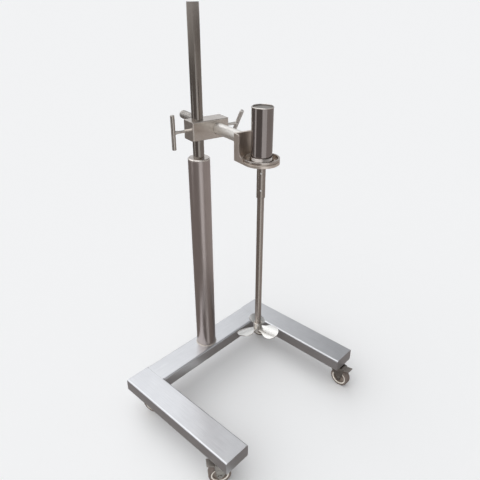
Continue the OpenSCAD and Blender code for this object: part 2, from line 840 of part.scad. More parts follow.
// Sleeve that joins the motor's shaft and the stirrer's, bored from both ends
module coupling() {
    chamfer = coupling_gap;
    r = coupling_d / 2;
    color("silver") on_motor() difference() {
        translate([0, 0, coupling_bottom]) rotate_extrude() polygon([[0, 0], [r - chamfer, 0],
            [r, chamfer], [r, coupling_l - chamfer], [r - chamfer, coupling_l], [0, coupling_l]]);
        translate([0, 0, coupling_mid + coupling_web / 2])
            cylinder(r = shaft_r + seat_gap, h = coupling_l);
        translate([0, 0, coupling_mid - coupling_web / 2 - coupling_l])
            cylinder(r = shaft_d / 2 + seat_gap, h = coupling_l);
        for (z = set_screw_heights()) set_screw_place(z)
            cylinder(r = set_screw_d / 2 + seat_gap, h = coupling_d);
    }
}

// Set screws in coupling and hub, each with its hexagon recess, proud by a little
module set_screws() {
    proud = set_screw_d / 6;
    hub_screw_z = hub_z + hub_h - set_screw_d;
    ends = [[set_screw_heights()[0], shaft_r, coupling_d / 2 + proud],
        [set_screw_heights()[1], shaft_d / 2, coupling_d / 2 + proud], [hub_screw_z, shaft_d / 2, hub_r]];
    color("white") on_motor() for (e = ends) set_screw_place(e[0]) difference() {
        translate([0, 0, e[1] + seat_gap]) cylinder(r = set_screw_d / 2, h = e[2] - e[1] - seat_gap);
        translate([0, 0, e[2] - proud]) cylinder(r = set_screw_d / 3, h = coupling_d, $fn = 6);
    }
}

module stirrer_shaft() {
    z0 = hub_z + hub_floor;
    z1 = coupling_mid - coupling_web / 2 - coupling_gap;
    color("silver") on_motor() translate([0, 0, z0]) cylinder(r = shaft_d / 2, h = z1 - z0);
}

// Hub with a tapered tip, bored from above for the shaft
module impeller_hub() {
    top_r = shaft_d / 2 + (hub_r - shaft_d / 2) / 2;
    color("silver") on_motor() translate([0, 0, hub_z]) difference() {
        rotate_extrude() polygon([[0, 0], [hub_tip_r, 0], [hub_r, hub_tip_h],
            [hub_r, hub_h - (hub_r - top_r)], [top_r, hub_h], [0, hub_h]]);
        translate([0, 0, hub_floor - seat_gap]) cylinder(r = shaft_d / 2 + seat_gap, h = hub_h);
        translate([0, 0, hub_h - set_screw_d]) rotate([0, 0, set_screw_turn]) along_x()
            cylinder(r = set_screw_d / 2 + seat_gap, h = hub_d);
    }
}

// Outline of one blade along +X: a round paddle on a neck that widens from the hub
module blade_2d() {
    root = neck_w / 2;
    flare = neck_flare_share * blade_d / 2;
    translate([blade_out, 0]) circle(blade_d / 2);
    polygon([[0, -root], [blade_out, -flare], [blade_out, flare], [0, root]]);
}

// One blade along +X: its outline cut from a shallow arched shell, pitched about its length
module blade() {
    l = blade_out + blade_d;
    difference() {
        rotate([blade_pitch, 0, 0]) intersection() {
            translate([0, 0, -blade_d / 2]) linear_extrude(blade_d) blade_2d();
            translate([-over, 0, -blade_camber_r]) rotate([90, 0, 90]) linear_extrude(l) difference() {
                circle(blade_camber_r + blade_t / 2);
                circle(blade_camber_r - blade_t / 2);
                translate([-2 * blade_camber_r, -2 * blade_camber_r])
                    square([4 * blade_camber_r, 2 * blade_camber_r]);
            }
        }
        cylinder(r = hub_r, h = 2 * blade_d, center = true);
    }
}

module impeller_blades() {
    color("whitesmoke") on_motor() translate([0, 0, blade_z])
        for (i = [0 : blade_n - 1]) rotate([0, 0, blade_turn + i * 360 / blade_n]) blade();
}

// Places its children on caster i's swivel axis, turned the way that its wheel trails
module at_caster(i) {
    translate(caster_spots[i]) rotate([0, 0, wheel_turns[i]]) children();
}

// Turns an extruded outline so that its X and Y become the caster's X and Z, centred across the wheel
module across(w) {
    translate([0, w / 2, 0]) rotate([90, 0, 0]) linear_extrude(w) children();
}

// Cylinder across the wheel at [x, z]
module cross_pin(x, z, r, w) {
    translate([x, w / 2, z]) rotate([90, 0, 0]) cylinder(r = r, h = w);
}

// Mounting plates with their ball race and riveted king pin, square to the legs
module caster_plates() {
    pin_l = race_t + side_gap + crown_t + side_gap;
    color("silver") for (spot = caster_spots) translate([spot.x, spot.y, caster_h - plate_t]) {
        difference() {
            linear_extrude(plate_t) rounded_rect(plate_w, plate_w, bolt_head_r);
            for (x = [-1, 1], y = [-1, 1]) translate([x * bolt_at, y * bolt_at, -over])
                cylinder(r = bolt_r + seat_gap, h = plate_t + 2 * over);
        }
        translate([0, 0, -race_t]) cylinder(r = race_r, h = race_t);
        translate([0, 0, -pin_l]) cylinder(r = pin_r, h = pin_l);
        translate([0, 0, -pin_l - pin_head_t]) cylinder(r = pin_head_r, h = pin_head_t);
    }
}

module caster_bolts() {
    color("gray") for (spot = caster_spots, x = [-1, 1], y = [-1, 1])
        translate([spot.x + x * bolt_at, spot.y + y * bolt_at, caster_h - plate_t]) {
            cylinder(r = bolt_r, h = bolt_len);
            translate([0, 0, -bolt_head_t]) cylinder(r = bolt_head_r, h = bolt_head_t, $fn = 6);
        }
}

// Side view of a fork's cheek: X towards the wheel, Z up
module cheek_2d() {
    heel = [-crown_r + cheek_r, cheek_z];
    toe = [pedal_x, cheek_z];
    axle = [trail, wheel_r];
    link_2d(heel, cheek_r, toe, cheek_r);
    link_2d([0, cheek_z], cheek_r, axle, boss_r);
    link_2d(toe, cheek_r, axle, boss_r);
    polygon([[0, cheek_z], toe, axle]);
}

// Fork: a crown round the king pin, two cheeks and a riveted axle
module fork(i) {
    crown_z = crown_top - crown_t;
    color("silver") at_caster(i) difference() {
        union() {
            translate([0, 0, crown_z]) cylinder(r = crown_r, h = crown_t);
            for (s = [-1, 1]) translate([0, s * (cheek_y + cheek_t / 2), 0]) across(cheek_t) cheek_2d();
            cross_pin(trail, wheel_r, axle_r, 2 * (cheek_y + cheek_t));
            for (s = [-1, 1]) translate([0, s * (cheek_y + cheek_t + axle_head_t / 2), 0])
                cross_pin(trail, wheel_r, axle_head_r, axle_head_t);
        }
        translate([0, 0, crown_z - over]) cylinder(r = pin_r + run_gap, h = crown_t + 2 * over);
        cross_pin(pedal_x, cheek_z, pedal_pin_r + run_gap, 2 * (cheek_y + cheek_t) + 2 * over);
    }
}

// Wheel body: hub with a bore for the axle, a web and a rim
module wheel(i) {
    hub_w = 2 * (cheek_y - side_gap);
    rim_w = wheel_w - rim_t;
    color("antiquewhite") at_caster(i) difference() {
        union() {
            cross_pin(trail, wheel_r, wheel_hub_r, hub_w);
            cross_pin(trail, wheel_r, rim_r - rim_t / 2, hub_web_t);
            difference() {
                cross_pin(trail, wheel_r, rim_r, rim_w);
                cross_pin(trail, wheel_r, rim_r - rim_t, rim_w + 2 * over);
            }
        }
        cross_pin(trail, wheel_r, axle_r + run_gap, hub_w + 2 * over);
    }
}

// Tyre with rounded shoulders
module tyre(i) {
    core_w = wheel_w - 2 * shoulder_r;
    color("dimgray") at_caster(i) translate([trail, 0, wheel_r]) rotate([90, 0, 0]) rotate_extrude() {
        translate([rim_r, -wheel_w / 2]) square([tyre_t - shoulder_r, wheel_w]);
        translate([rim_r, -core_w / 2]) square([tyre_t, core_w]);
        for (s = [-1, 1]) translate([wheel_r - shoulder_r, s * core_w / 2]) circle(shoulder_r);
    }
}

// Brake pedal on its pivot pin, with a shoe that swings onto the tyre
module pedal(i) {
    pivot = [pedal_x, cheek_z];
    tip = pivot + pedal_l * [cos(pedal_rise), sin(pedal_rise)];
    to_axle = [trail, wheel_r] - pivot;
    shoe_reach = norm(to_axle) - wheel_r - side_gap - shoe_r;
    shoe_turn = atan2(to_axle.y, to_axle.x) + pedal_stroke;
    shoe = pivot + shoe_reach * [cos(shoe_turn), sin(shoe_turn)];
    color("dimgray") at_caster(i) {
        across(2 * pedal_half_w) {
            translate(pivot) circle(pedal_hub_r);
            link_2d(pivot, pedal_t, tip, pedal_t / 2);
            link_2d(pivot, shoe_r, shoe, shoe_r);
        }
        cross_pin(pedal_x, cheek_z, pedal_pin_r, 2 * (cheek_y + cheek_t));
    }
}

crossbar();
leg(-1);  // left_leg
leg(1);  // right_leg
leg_end_caps();
column();
column_cap();
mast();
mast_plug();
mast_foot_bush();
caster_plates();
caster_bolts();
mast_liner();
clamp_block();
mast_pad();
mast_screw();
mast_tbar();
arm_pad();
arm_screw();
arm_tbar();
arm_liner();
arm_rod();
motor_bracket();
foot_ring();
foot_screws();
motor_cover();
motor_cap();
lower_end_plate();
upper_end_plate();
lower_bearing();
upper_bearing();
shaft_seal();
stator_liner();
stator_screws();
air_inlet_socket();
exhaust_silencer();
rotor();
vanes();
coupling();
set_screws();
stirrer_shaft();
impeller_hub();
impeller_blades();
fork(0);  // fork_lf
fork(1);  // fork_rf
fork(2);  // fork_lr
fork(3);  // fork_rr
wheel(0);  // wheel_lf
wheel(1);  // wheel_rf
wheel(2);  // wheel_lr
wheel(3);  // wheel_rr
tyre(0);  // tyre_lf
tyre(1);  // tyre_rf
tyre(2);  // tyre_lr
tyre(3);  // tyre_rr
pedal(0);  // pedal_lf
pedal(1);  // pedal_rf
pedal(2);  // pedal_lr
pedal(3);  // pedal_rr
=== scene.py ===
# %% [markdown]
# # A pneumatic stirrer on a mobile stand
# The machine is almost all stainless steel, so this lesson is mostly about metal: how one alloy
# can look bright on a brushed leg, brown on a turned tube and nearly black on a polished motor.
# Part of that is what each piece mirrors, and part is painted reflection: the tubes and the motor
# get darker, browner steel colours than the legs.
# The solids come from the CAD frame. Here they get their finishes, and the small things that a
# workshop adds last: weld beads, the knurl on the grip, cover rings on the wheels, and the band and
# the rim of the motor's cover.

# %% Load the frame
import math

import bmesh
import bpy
from mathutils import Matrix, Vector


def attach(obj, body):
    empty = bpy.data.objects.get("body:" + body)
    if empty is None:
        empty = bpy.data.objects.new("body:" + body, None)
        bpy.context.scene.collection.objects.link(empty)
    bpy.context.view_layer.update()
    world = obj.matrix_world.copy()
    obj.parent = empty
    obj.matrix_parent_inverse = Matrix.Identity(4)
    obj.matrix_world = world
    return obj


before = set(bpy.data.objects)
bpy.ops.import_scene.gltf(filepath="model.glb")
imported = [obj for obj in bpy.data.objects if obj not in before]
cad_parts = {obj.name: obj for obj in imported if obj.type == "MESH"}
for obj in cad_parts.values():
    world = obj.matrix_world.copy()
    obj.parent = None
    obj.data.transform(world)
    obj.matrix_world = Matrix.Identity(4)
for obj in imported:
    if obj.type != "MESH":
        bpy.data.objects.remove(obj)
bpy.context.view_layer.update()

# %% [markdown]
# ## Camera
# The photographer stands at the left front and looks down a little. A camera can be moved by eye
# until the view seems right, but then nobody knows whether a difference lies in the view or in the
# part. So position and directions were fitted to the edges of base, column and mast, and the lens
# follows from the fitted focal length.

# %% Camera at the photographer's place
PHOTO_SIDE_PX = 480
FOCAL_PX = 469.35
SENSOR_MM = 36.0
CAMERA_AT = Vector((-1.036, -1.161, 1.440))
YAW = math.radians(46.93)
PITCH = math.radians(27.76)
ROLL = math.radians(0.05)
AHEAD = math.cos(PITCH)
LOOK = Vector((math.sin(YAW) * AHEAD, math.cos(YAW) * AHEAD, -math.sin(PITCH)))

lens_data = bpy.data.cameras.new("photo_camera")
lens_data.sensor_width = SENSOR_MM
lens_data.lens = SENSOR_MM * FOCAL_PX / PHOTO_SIDE_PX
camera = bpy.data.objects.new("photo_camera", lens_data)
camera.location = CAMERA_AT
turn = LOOK.to_track_quat("-Z", "Y").to_matrix() @ Matrix.Rotation(ROLL, 3, "Z")
camera.rotation_euler = turn.to_euler()
bpy.context.collection.objects.link(camera)
bpy.context.scene.camera = camera
bpy.context.scene.view_settings.view_transform = "Standard"
print("lens", round(lens_data.lens, 2), "mm")

# %% [markdown]
# ## Two helpers for materials
# Colours are given in sRGB, as a screen shows them, and Blender's nodes work in linear light. One
# function turns the one into the other. The second adds a node with its settings and its links, so
# a material reads from top to bottom like a recipe.

# %% Colour and node helpers
def srgb(code):
    """Turns a hex colour such as #C8C4BE into linear red, green and blue, and a full alpha."""
    shares = [int(code[i:i + 2], 16) / 255 for i in (1, 3, 5)]
    return [v / 12.92 if v <= 0.04045 else ((v + 0.055) / 1.055) ** 2.4 for v in shares] + [1.0]


def add(tree, kind, values=None, links=None, **settings):
    """Adds a node, sets its properties and sockets, and links sockets to their sources."""
    made = tree.nodes.new(kind)
    for key, value in settings.items():
        setattr(made, key, value)
    for key, value in (values or {}).items():
        made.inputs[key].default_value = value
    for key, source in (links or {}).items():
        tree.links.new(source, made.inputs[key])
    return made


# %% [markdown]
# ## Studio
# Metal shows its surroundings, so the studio is part of every finish. A panorama picture could
# stand for the room, but its levels would be fixed. Here they are worked out from the direction
# alone, so each can be set to what one face of the machine mirrors. The ceiling is bright on the
# left and greyer on the right, as the flat tops of the legs show it. The walls are pale, with a
# grey band where they meet the ceiling, which the clamp block's top and the blades mirror.

# %% World: a ceiling that is brighter on the left
world = bpy.data.worlds.new("studio_room")
bpy.context.scene.world = world
world.use_nodes = True
room = world.node_tree
room.nodes.clear()
room_dir = add(room, "ShaderNodeTexCoord")
room_split = add(room, "ShaderNodeSeparateXYZ", links={0: room_dir.outputs["Generated"]})

# Each pair is the sine of an elevation and the brightness there, from the horizon to the zenith.
HEIGHT_LEVELS = [(0.0, 0.92), (0.15, 0.84), (0.25, 0.50), (0.42, 0.92),
                 (0.62, 1.07), (0.80, 1.09), (1.0, 1.08)]
COOL_WHITE = (0.985, 0.995, 1.02)
height_ramp = add(room, "ShaderNodeValToRGB", links={0: room_split.outputs["Z"]})
stops = height_ramp.color_ramp.elements
# New stops start in the middle and get their real places in the loop after it.
while len(stops) < len(HEIGHT_LEVELS):
    stops.new(0.5)
for stop, (height, level) in zip(stops, HEIGHT_LEVELS):
    stop.position = height
    stop.color = (*(level * share for share in COOL_WHITE), 1.0)

# The level falls from left to right across the camera's line of sight, but only above the walls.
RIGHTWARD = Vector((math.cos(YAW), -math.sin(YAW), 0))
LEFT_END, RIGHT_END = -0.05, 0.20
LEFT_LEVEL, RIGHT_LEVEL = 1.07, 0.28
WALL_TOP, CEILING_START = 0.20, 0.46
sideways = add(room, "ShaderNodeVectorMath", {1: tuple(RIGHTWARD)},
               {0: room_dir.outputs["Generated"]}, operation="DOT_PRODUCT")
side_level = add(room, "ShaderNodeMapRange",
                 {"From Min": LEFT_END, "From Max": RIGHT_END,
                  "To Min": LEFT_LEVEL, "To Max": RIGHT_LEVEL},
                 {"Value": sideways.outputs["Value"]}, interpolation_type="SMOOTHSTEP")
above_walls = add(room, "ShaderNodeMapRange", {"From Min": WALL_TOP, "From Max": CEILING_START},
                  {"Value": room_split.outputs["Z"]}, interpolation_type="SMOOTHSTEP")
strength = add(room, "ShaderNodeMix", {2: 1.0},
               {0: above_walls.outputs[0], 3: side_level.outputs[0]}, data_type="FLOAT")
room_light = add(room, "ShaderNodeBackground",
                 links={"Color": height_ramp.outputs["Color"], "Strength": strength.outputs[0]})
add(room, "ShaderNodeOutputWorld", links={"Surface": room_light.outputs[0]})
print("ceiling levels:", HEIGHT_LEVELS)

# %% [markdown]
# The floor is matt white paper, so the machine's soft shadow shows on it. A small square would do
# for one picture. A disc this wide ends close to the horizon, whichever way a camera looks.

# %% Floor
def matt(name, code):
    """A plain matt paper for the studio."""
    made = bpy.data.materials.new(name)
    made.use_nodes = True
    made.node_tree.nodes.clear()
    face = add(made.node_tree, "ShaderNodeBsdfDiffuse", {"Color": srgb(code)})
    add(made.node_tree, "ShaderNodeOutputMaterial", links={"Surface": face.outputs[0]})
    return made


def link_mesh(name, form, material):
    """Turns a bmesh into an object at the origin with one material."""
    mesh = bpy.data.meshes.new(name)
    form.to_mesh(mesh)
    form.free()
    mesh.materials.append(material)
    made = bpy.data.objects.new(name, mesh)
    bpy.context.collection.objects.link(made)
    return made


FLOOR_RADIUS = 150.0
FLOOR_CORNERS = 96
disc = bmesh.new()
bmesh.ops.create_circle(disc, cap_ends=True, segments=FLOOR_CORNERS, radius=FLOOR_RADIUS)
floor = link_mesh("studio_floor", disc, matt("matt_white_floor_paper", "#FDFDFC"))

# %% [markdown]
# Polished steel on white paper looks like white paper. A photographer of metal lays grey cards
# around the machine to give it form: tubes then show dark flanks and one long light band where
# the white paper is left open. Cards are often stood upright, but these tubes are seen from
# above, so they mirror the floor, and the higher up, the farther away. The cards are therefore
# sectors of rings on the floor: the inner ones show in the column's foot, the outer ones in the
# top of the mast. Only reflections see them, so they are neither in the picture nor in the
# shadows.

# %% Grey cards on the floor
MACHINE_MIDDLE = Vector((0.0, -0.10, 0.0))
CARD_HEIGHT = 0.004
CARD_STEPS = 32


def around(azimuth, distance, height):
    """A place at an angle from the direction towards the camera, to the right when positive."""
    a = YAW + math.pi - math.radians(azimuth)
    return MACHINE_MIDDLE + Vector((math.sin(a) * distance, math.cos(a) * distance, height))


def floor_card(name, inner, outer, start, stop, paper):
    """Lays a sector of a ring on the floor, from one azimuth in degrees to another."""
    sector = bmesh.new()
    ends = [sector.verts.new(around(start, r, CARD_HEIGHT)) for r in (inner, outer)]
    rim = sector.edges.new(ends)
    bmesh.ops.spin(sector, geom=ends + [rim], cent=MACHINE_MIDDLE, axis=(0, 0, 1),
                   steps=CARD_STEPS, angle=math.radians(stop - start), use_merge=False)
    for face in sector.faces:
        if face.normal.z < 0:
            face.normal_flip()
    card = link_mesh(name, sector, paper)
    card.visible_camera = False
    card.visible_shadow = False
    card.visible_diffuse = False
    return card


dark_paper = matt("dark_grey_card", "#827D7A")
brown_paper = matt("brown_grey_card", "#928B87")
grey_paper = matt("mid_grey_card", "#BFB9B5")
light_paper = matt("light_grey_card", "#D2CECB")

# Name, inner and outer radius in metres, first and last azimuth in degrees, paper
CARDS = [("foot_ring", 0.02, 0.42, 34, 358, brown_paper),
         ("foot_left", 0.42, 0.75, -178, 0, brown_paper),
         ("foot_right", 0.42, 0.75, 12, 178, brown_paper),
         ("near_left", 0.75, 2.9, -178, -2, brown_paper),
         ("near_right", 0.75, 2.9, 34, 178, grey_paper),
         ("motor_back", 2.9, 6.2, -178, -84, dark_paper),
         ("motor_left", 2.9, 6.2, -65, -1, dark_paper),
         ("motor_right", 2.9, 6.2, 46, 178, grey_paper),
         ("mast_left", 6.2, 13.0, -178, 2, dark_paper),
         ("mast_right", 6.2, 13.0, 22, 178, grey_paper),
         ("far_left", 13.0, 60.0, -178, 0, light_paper),
         ("far_right", 13.0, 60.0, 0, 178, brown_paper)]
cards = [floor_card("card_" + name, *rest) for name, *rest in CARDS]
print("cards:", [c.name for c in cards])

# %% [markdown]
# One soft sun stands for a large lamp overhead. An area lamp would do the same, but it would show
# in the polished tubes as a bright rectangle, and the photograph has none. The sun is a quarter
# turn wide, so its shadow has no edge and it doesn't whiten the brushed tops.

# %% Sun
SUN_ENERGY = 0.6
SUN_WIDTH = math.radians(90)
SUN_TILT = (math.radians(-14), math.radians(-22), 0)
sun_data = bpy.data.lights.new("overhead_sun", "SUN")
sun_data.energy = SUN_ENERGY
sun_data.angle = SUN_WIDTH
sun = bpy.data.objects.new("overhead_sun", sun_data)
sun.rotation_euler = SUN_TILT
bpy.context.collection.objects.link(sun)
print("sun", round(sun_data.energy, 2))

# %% [markdown]
# ## One builder for worked surfaces
# Every piece got its look from the last tool that touched it. A belt leaves long parallel lines,
# a lathe leaves rings, a mould leaves fine grain. A shader with anisotropic gloss would stretch
# the highlights and show no single mark, so the marks themselves are drawn. Most real ones are
# less than 0.5 mm apart and would vanish from two metres away, so they are drawn as coarse as
# they need to be to show.
#
# The first step is to say where the marks lie. A noise is even in all directions, but it reads
# coordinates, and these can be stretched. Along a belt's path they are stretched many times over.
# For turned pieces the coordinates are the distance from the lathe's axis and the height, so
# nothing changes on the way round and the noise becomes rings.

# %% Where the marks lie
def marks_place(t, where, grain, along, turn, axis):
    """Coordinates in which a mark is one unit: stretched along a path, or rings round an axis."""
    if not axis:
        return add(t, "ShaderNodeMapping",
                   {"Rotation": (0, 0, turn), "Scale": tuple(grain * a for a in along)},
                   {"Vector": where}, vector_type="TEXTURE")
    centred = add(t, "ShaderNodeMapping", {"Location": (axis[0], axis[1], 0)}, {"Vector": where},
                  vector_type="TEXTURE")
    outward = add(t, "ShaderNodeVectorMath", {1: (1, 1, 0)}, {0: centred.outputs[0]},
                  operation="MULTIPLY")
    radius = add(t, "ShaderNodeVectorMath", links={0: outward.outputs[0]}, operation="LENGTH")
    level = add(t, "ShaderNodeSeparateXYZ", links={0: centred.outputs[0]})
    rings = add(t, "ShaderNodeCombineXYZ",
                links={0: radius.outputs["Value"], 2: level.outputs["Z"]})
    return add(t, "ShaderNodeMapping", {"Scale": (grain, grain, grain)},
               {"Vector": rings.outputs[0]}, vector_type="TEXTURE")


# %% [markdown]
# The marks then drive three things: colour a little, roughness more, and a shallow bump. Slow
# clouds stand for handling and cleaning. A bevel node rounds the edges without a new face, so
# they catch light. It also tells where an edge is, and there an edge colour is mixed in: a
# coating rubbed through on the lacquered, oxidised and mill-skinned pieces, and a painted
# highlight on the bare motor cover and foot ring.

# %% Builder
MARK_NOISE = {"Scale": 1.0, "Detail": 3.0, "Roughness": 0.6}
CLOUD_NOISE = {"Detail": 4.0, "Roughness": 0.55}
NOISE_MIDDLE, NOISE_REACH = 0.5, 0.16
SMOOTHEST = 0.02
MM_PER_M = 1000.0
BEVEL_SAMPLES = 6
BUMP_DEPTH = 0.0004
# The cosine between the face and the rounded normal at which the edge colour starts and at which
# it is complete, and how much of the edge colour shows there
EDGE_TINT_START, EDGE_TINT_FULL, EDGE_TINT_MOST = 0.985, 0.86, 0.8


def surface(name, dark, light, rough, grain_mm, along=(1, 1, 1), turn=0.0, axis=None, metallic=1.0,
            relief=0.1, wobble=0.05, edge_mm=0.8, edge_wear_and_highlight=None, cloud=0.35, cloud_mm=70):
    """A material whose marks lie grain_mm apart and run `along` times longer on X, Y and Z."""
    made = bpy.data.materials.new(name)
    made.use_nodes = True
    t = made.node_tree
    t.nodes.clear()
    where = add(t, "ShaderNodeTexCoord").outputs["Object"]
    marks_at = marks_place(t, where, grain_mm / MM_PER_M, along, turn, axis)
    marks = add(t, "ShaderNodeTexNoise", MARK_NOISE, {"Vector": marks_at.outputs[0]})
    clouds = add(t, "ShaderNodeTexNoise", {"Scale": MM_PER_M / cloud_mm, **CLOUD_NOISE},
                 {"Vector": where})
    blend = add(t, "ShaderNodeMix", {0: cloud}, {2: marks.outputs["Fac"], 3: clouds.outputs["Fac"]},
                data_type="FLOAT")
    spread = add(t, "ShaderNodeMapRange",
                 {"From Min": NOISE_MIDDLE - NOISE_REACH, "From Max": NOISE_MIDDLE + NOISE_REACH},
                 {"Value": blend.outputs[0]})
    tint = add(t, "ShaderNodeMix", {6: srgb(dark), 7: srgb(light)}, {0: spread.outputs[0]},
               data_type="RGBA")
    rough_map = add(t, "ShaderNodeMapRange",
                    {"To Min": max(rough - wobble, SMOOTHEST), "To Max": rough + wobble},
                    {"Value": blend.outputs[0]})
    rounded = add(t, "ShaderNodeBevel", {"Radius": edge_mm / MM_PER_M}, samples=BEVEL_SAMPLES)
    colour = tint.outputs[2]
    # On coated pieces the edge colour is bare metal rubbed through; on the bare motor cover and
    # foot ring it is a painted highlight.
    if edge_wear_and_highlight:
        flat = add(t, "ShaderNodeNewGeometry")
        agree = add(t, "ShaderNodeVectorMath",
                    links={0: rounded.outputs[0], 1: flat.outputs["Normal"]},
                    operation="DOT_PRODUCT")
        edge_tint_share = add(t, "ShaderNodeMapRange",
                     {"From Min": EDGE_TINT_START, "From Max": EDGE_TINT_FULL, "To Max": EDGE_TINT_MOST},
                     {"Value": agree.outputs["Value"]})
        edge_tinted = add(t, "ShaderNodeMix", {7: srgb(edge_wear_and_highlight)}, {0: edge_tint_share.outputs[0], 6: colour},
                   data_type="RGBA")
        colour = edge_tinted.outputs[2]
    bumped = add(t, "ShaderNodeBump", {"Strength": relief, "Distance": BUMP_DEPTH},
                 {"Height": marks.outputs["Fac"], "Normal": rounded.outputs[0]})
    shader = add(t, "ShaderNodeBsdfPrincipled", {"Metallic": metallic},
                 {"Base Color": colour, "Roughness": rough_map.outputs[0],
                  "Normal": bumped.outputs[0]})
    add(t, "ShaderNodeOutputMaterial", links={"Surface": shader.outputs[0]})
    return made


def finish(material, *names):
    """Gives a material to CAD nodes."""
    for name in names:
        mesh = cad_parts[name].data
        mesh.materials.clear()
        mesh.materials.append(material)
    print(material.name, "->", ", ".join(names))


# %% [markdown]
# ## Base
# The base is welded from stainless box section and finished with a grinding belt. The belt runs
# along each bar, so the faint lines do too, and they spread each reflection across it. The legs
# point along Y and the crossbar along X, which is why the same steel is made twice. The marks are
# really about 0.3 mm apart; here they are drawn 2 mm apart, or they would vanish in the picture.

# %% Brushed box section
leg_steel = surface("belt_brushed_stainless_legs", "#CDCED0", "#DCDDDF", rough=0.34,
                    grain_mm=2.0, along=(1, 45, 1), edge_mm=0.6, relief=0.06)
bar_steel = surface("belt_brushed_stainless_crossbar", "#CDCED0", "#DCDDDF", rough=0.34,
                    grain_mm=2.0, along=(45, 1, 1), edge_mm=0.6, relief=0.06)
finish(leg_steel, "left_leg", "right_leg", "leg_end_caps")
finish(bar_steel, "crossbar")

# %% [markdown]
# ## Column and mast
# The column is a polished tube with a warm, slightly purple grey, darker than the legs' steel; that
# tone is partly the steel's own and partly painted reflection of a dark brown room. It was
# polished lengthways, so its light band stays soft-edged and its marks run upwards. The mast is a
# drawn tube with a darker, more mirror-like skin, whose darker colour is also partly painted
# reflection. The band is not painted on: it is the white paper between two cards, so it moves
# when a camera does. The collar on the column and the plug in the mast come from a lathe, so their
# marks are rings around the axis.

# %% Tubes, collar and plug
# The column's and the mast's colours are partly painted reflection: darker and browner than the
# legs' steel.
column_steel = surface("lengthways_polished_column_tube", "#B2A8A4", "#BAB0AC", rough=0.30,
                       grain_mm=2.2, along=(1, 1, 60), relief=0.02)
mast_steel = surface("drawn_mast_tube", "#8C8680", "#9A938C", rough=0.17, grain_mm=2.6,
                     along=(1, 1, 70), relief=0.03)
collar_steel = surface("turned_stainless_collar", "#D2CBC4", "#E2DCD6", rough=0.24, grain_mm=0.9,
                       axis=(0, 0), edge_mm=1.6)
finish(column_steel, "column")
finish(mast_steel, "mast")
finish(collar_steel, "column_cap", "mast_plug")

# %% [markdown]
# ## Clamp block and its handles
# The block was milled and then tumbled with stones, which dulls it and rounds its edges. Tumbling
# has no direction, so this noise isn't stretched. The screws and their handle bars are turned
# steel. The bar on the right is fine-knurled, so it glitters in spots instead of showing a band.

# %% Block, screws and bars
block_steel = surface("tumbled_clamp_block", "#C6BEB6", "#DAD3CB", rough=0.25, grain_mm=5.0,
                      cloud_mm=45, cloud=0.5, edge_mm=2.5, relief=0.12)
screw_steel = surface("turned_clamping_screw", "#DEDAD4", "#EFECE8", rough=0.20, grain_mm=1.2,
                      edge_mm=0.6)
bar_handle = surface("polished_handle_bar", "#B0AAA3", "#C4BEB7", rough=0.24, grain_mm=1.5,
                     along=(1, 1, 20), edge_mm=1.0)
knurled_bar = surface("fine_knurled_handle_bar", "#CBC7C1", "#F6F3EF", rough=0.46, grain_mm=2.6,
                      relief=0.5, cloud=0.1, edge_mm=1.0)
finish(block_steel, "clamp_block")
finish(screw_steel, "mast_screw", "arm_screw")
finish(bar_handle, "mast_tbar")
finish(knurled_bar, "arm_tbar")

# %% [markdown]
# ## Arm, bracket and foot ring
# The arm is a bead-blasted bar: tiny dents break every reflection up, so its upper side is one
# broad soft light and nothing mirrors in it. As geometry they would take millions of faces, and
# a bump does as well, because none is big enough to show in the outline. The bracket is bent from
# plate and keeps a darker, brownish mill skin, worn light along its edges. The ring on its foot
# is turned and bright.

# %% Arm, bracket and ring
# How far the head is turned on the mast, and where the motor's axis stands, in metres
HEAD_YAW = math.radians(-13)
MOTOR_AT = (-0.00145, -0.2819)

arm_steel = surface("bead_blasted_arm_bar", "#E4E0DA", "#F4F1EC", rough=0.42, grain_mm=2.2,
                    cloud=0.15, relief=0.3)
bracket_steel = surface("bent_mill_finish_plate", "#D2C6BB", "#E8DED4", rough=0.36, grain_mm=2.4,
                        along=(1, 1, 18), turn=HEAD_YAW, edge_mm=1.6, cloud_mm=40,
                        edge_wear_and_highlight="#DAD3CA")
# The lighter edge colour on this bare turned ring is a painted highlight along its edges.
ring_steel = surface("turned_bright_ring_painted_edge_highlight", "#B6ADA5", "#CDC5BD", rough=0.20, grain_mm=0.9,
                     axis=MOTOR_AT, edge_mm=1.6, edge_wear_and_highlight="#F0ECE6")
finish(arm_steel, "arm_rod")
finish(bracket_steel, "motor_bracket")
finish(ring_steel, "foot_ring")

# %% [markdown]
# ## Air motor outside
# The motor's cover is a thin tube, buffed until it mirrors the room, so it is the darkest and
# sharpest piece. Its colour is darker than the column's, partly as painted reflection of a dark
# room, and a low roughness keeps the edges of the cards crisp in it. Its lighter edge colour is a
# painted highlight. The cap sunk into its top is anodised aluminium with a warm grey. The
# threaded socket at the back is nickel-plated, and the silencer is sintered from bronze balls
# about 1 mm wide.

# %% Cover, cap, socket and silencer
# The cover's dark colour is partly painted reflection, and its lighter edge colour is a painted
# highlight along its edges.
cover_steel = surface("buffed_motor_cover", "#928A87", "#9A928F", rough=0.11, grain_mm=2.4,
                      along=(1, 1, 60), relief=0.015, wobble=0.02, edge_mm=2.2, edge_wear_and_highlight="#F0EAE2")
cap_metal = surface("anodised_motor_cap", "#86827A", "#97938B", rough=0.34, grain_mm=0.8,
                    axis=MOTOR_AT, edge_mm=0.8)
socket_metal = surface("nickel_plated_socket", "#BDB6A8", "#CFC9BC", rough=0.22, grain_mm=1.0,
                       edge_mm=0.6)
bronze = surface("sintered_bronze", "#7A5A34", "#B08A55", rough=0.5, grain_mm=1.3, relief=0.9,
                 cloud=0.1, edge_mm=0.5)
finish(cover_steel, "motor_cover")
finish(cap_metal, "motor_cap")
finish(socket_metal, "air_inlet_socket")
finish(bronze, "exhaust_silencer")

